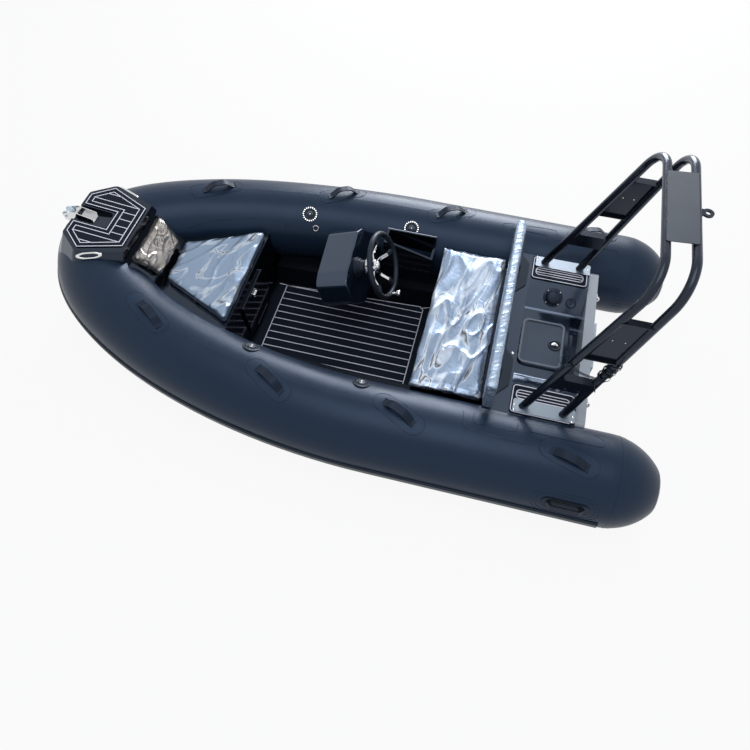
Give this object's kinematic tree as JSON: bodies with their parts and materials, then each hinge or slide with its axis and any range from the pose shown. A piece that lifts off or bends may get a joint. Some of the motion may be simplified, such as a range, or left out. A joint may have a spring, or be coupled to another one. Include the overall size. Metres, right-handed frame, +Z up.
{
  "type": "inflatable rib boat",
  "caption": "Small rigid inflatable boat with a vee hull, black tubes, side console, bench seat, bow step and a raked stern arch, afloat.",
  "frame": {"origin": "on the centreline at the transom's aft face, at the waterline", "axes": "+X forward to the bow, +Y to port, +Z up"},
  "size_m": [3.2169, 1.7632, 1.5289],
  "materials": {
    "hypalon_black": "matte",
    "strake_rubber": "matte",
    "gelcoat_black": "gloss",
    "hull_paint": "satin",
    "foam_deck": "matte",
    "silver_cover": "satin",
    "bare_aluminium": "brushed",
    "stainless": "polished",
    "arch_paint": "gloss",
    "grip_black": "matte",
    "webbing": "matte",
    "roller_plastic": "satin"
  },
  "bodies": {
    "boat": {"hull": "hull_paint", "cockpit_liner": "gelcoat_black", "floor_mat": "foam_deck", "tube_port": "hypalon_black", "tube_starboard": "hypalon_black", "rub_strake_port": "strake_rubber", "rub_strake_starboard": "strake_rubber", "bow_locker": "gelcoat_black", "bow_step": "gelcoat_black", "bow_step_mat": "foam_deck", "bow_roller_bracket": "stainless", "bow_hawses": "stainless", "bow_seat_cushion": "silver_cover", "bow_back_cushion": "silver_cover", "console": "gelcoat_black", "helm_bezel": "gelcoat_black", "side_pocket": "gelcoat_black", "bench_box": "gelcoat_black", "bench_cushion": "silver_cover", "bench_backrest": "silver_cover", "backrest_brackets": "gelcoat_black", "aft_deck": "gelcoat_black", "aft_step_mats": "foam_deck", "filler_cap": "grip_black", "cable_grommet": "grip_black", "transom": "hull_paint", "motor_pad": "bare_aluminium", "stern_eyes": "stainless", "arch_forward_hoop": "arch_paint", "arch_aft_hoop": "arch_paint", "arch_top_plate": "arch_paint", "arch_leg_plates": "arch_paint", "arch_rungs": "arch_paint", "arch_base_plates": "bare_aluminium", "tow_eye": "arch_paint", "lift_handles_port": "webbing", "lift_handles_starboard": "webbing", "air_valves": "stainless", "carry_handles": "grip_black"},
    "steering_wheel": {"wheel_grip": "grip_black", "wheel_spokes": "stainless", "wheel_knob": "stainless"},
    "anchor_roller": {"bow_roller": "roller_plastic"},
    "locker_door": {"bow_locker_door": "gelcoat_black", "bow_locker_latch": "stainless"},
    "hatch": {"hatch_lid": "gelcoat_black", "hatch_latch": "grip_black"}
  },
  "joints": [
    {"name": "steering", "type": "hinge", "parent": "boat", "child": "steering_wheel", "pos_m": [1.101, -0.14, 0.474], "axis": [-0.9272, 0, 0.3746], "range_deg": [-540, 540]},
    {"name": "roller_spin", "type": "hinge", "parent": "boat", "child": "anchor_roller", "pos_m": [2.755, 0, 0.566], "axis": [0, 1, 0], "continuous": true},
    {"name": "locker_door_hinge", "type": "hinge", "parent": "boat", "child": "locker_door", "pos_m": [1.74505, 0.015, 0.05528], "axis": [0, -1, 0], "range_deg": [0, 90]},
    {"name": "hatch_hinge", "type": "hinge", "parent": "boat", "child": "hatch", "pos_m": [0.346, 0, 0.284], "axis": [0, 1, 0], "range_deg": [0, 90]}
  ]
}
